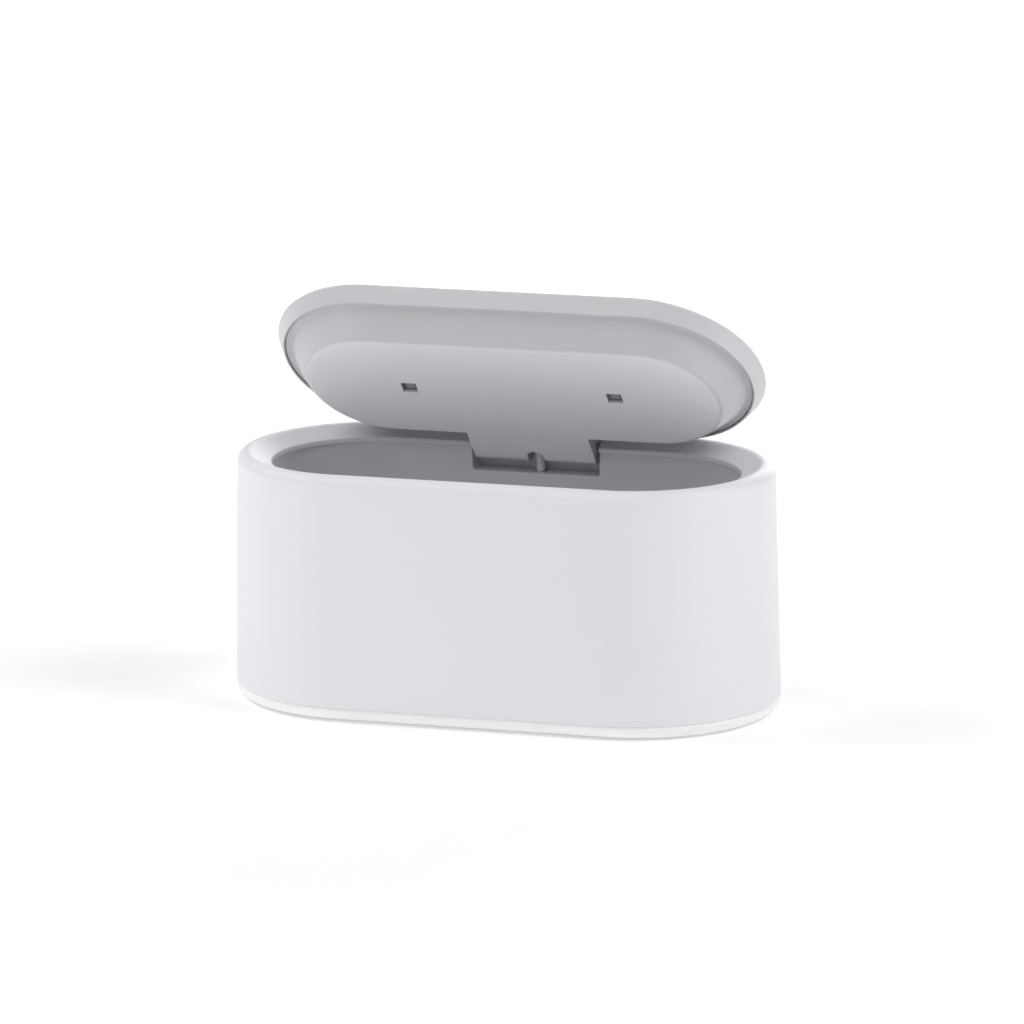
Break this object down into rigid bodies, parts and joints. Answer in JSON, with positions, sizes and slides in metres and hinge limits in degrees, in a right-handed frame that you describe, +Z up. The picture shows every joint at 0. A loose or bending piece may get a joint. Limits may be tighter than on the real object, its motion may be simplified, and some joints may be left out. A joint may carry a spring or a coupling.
{
  "type": "pacifier sterilizer case",
  "caption": "Stadium-shaped portable ultraviolet sterilizer box for pacifiers, with a recessed funnel rim and a hinged plug lid that carries lamp windows.",
  "frame": {"origin": "on the table, under the middle of the case's stadium plan", "axes": "+X along the case's length to its right, +Y to the rear where the hinge is, +Z up; the front faces -Y"},
  "size_m": [0.12, 0.0604, 0.0901],
  "materials": {
    "white_shell": "fine matte moulded ABS",
    "white_liner": "satin moulded ABS",
    "rubber_foot": "soft grey silicone rubber",
    "zinc_screw": "bright zinc-plated steel",
    "steel_pin": "ground stainless steel",
    "battery_wrap": "silver foil pouch",
    "foam_pad": "black foam tape",
    "green_board": "green solder mask on glass epoxy",
    "socket_steel": "stamped stainless steel",
    "black_chip": "black moulded epoxy",
    "grey_ferrite": "moulded ferrite powder",
    "tan_capacitor": "fired ceramic",
    "ivory_connector": "ivory nylon",
    "red_wire": "red PVC insulation",
    "magnet_nickel": "nickel plating",
    "orange_ribbon": "amber polyimide film",
    "dark_window": "dark quartz glass",
    "lamp_body": "white alumina",
    "lead_jacket": "pale grey PVC jacket"
  },
  "bodies": {
    "case": {"outer_shell": "white_shell", "base_cover": "white_shell", "inner_tub": "white_liner", "foot_pads": "rubber_foot", "base_screws": "zinc_screw", "board_screws": "zinc_screw", "hinge_pins": "steel_pin", "battery_cell": "battery_wrap", "battery_pad": "foam_pad", "main_board": "green_board", "sensor_board": "green_board", "usb_socket": "socket_steel", "control_chip": "black_chip", "charge_chip": "black_chip", "lid_sensor": "black_chip", "power_inductor": "grey_ferrite", "board_capacitors": "tan_capacitor", "board_connectors": "ivory_connector", "battery_leads": "red_wire", "case_magnets": "magnet_nickel", "sensor_lead": "orange_ribbon", "lid_lead": "lead_jacket"},
    "lid": {"lid_shell": "white_shell", "lid_panel": "white_liner", "window_glasses": "dark_window", "uv_lamps": "lamp_body", "lamp_board": "green_board", "lamp_board_screws": "zinc_screw", "lamp_connector": "ivory_connector", "lid_magnets": "magnet_nickel"}
  },
  "joints": [
    {"name": "lid_hinge", "type": "hinge", "parent": "case", "child": "lid", "pos_m": [0, 0.02436, 0.05045], "axis": [-1, 0, 0], "range_deg": [-47, 0], "deforming": ["lid_lead"]}
  ]
}
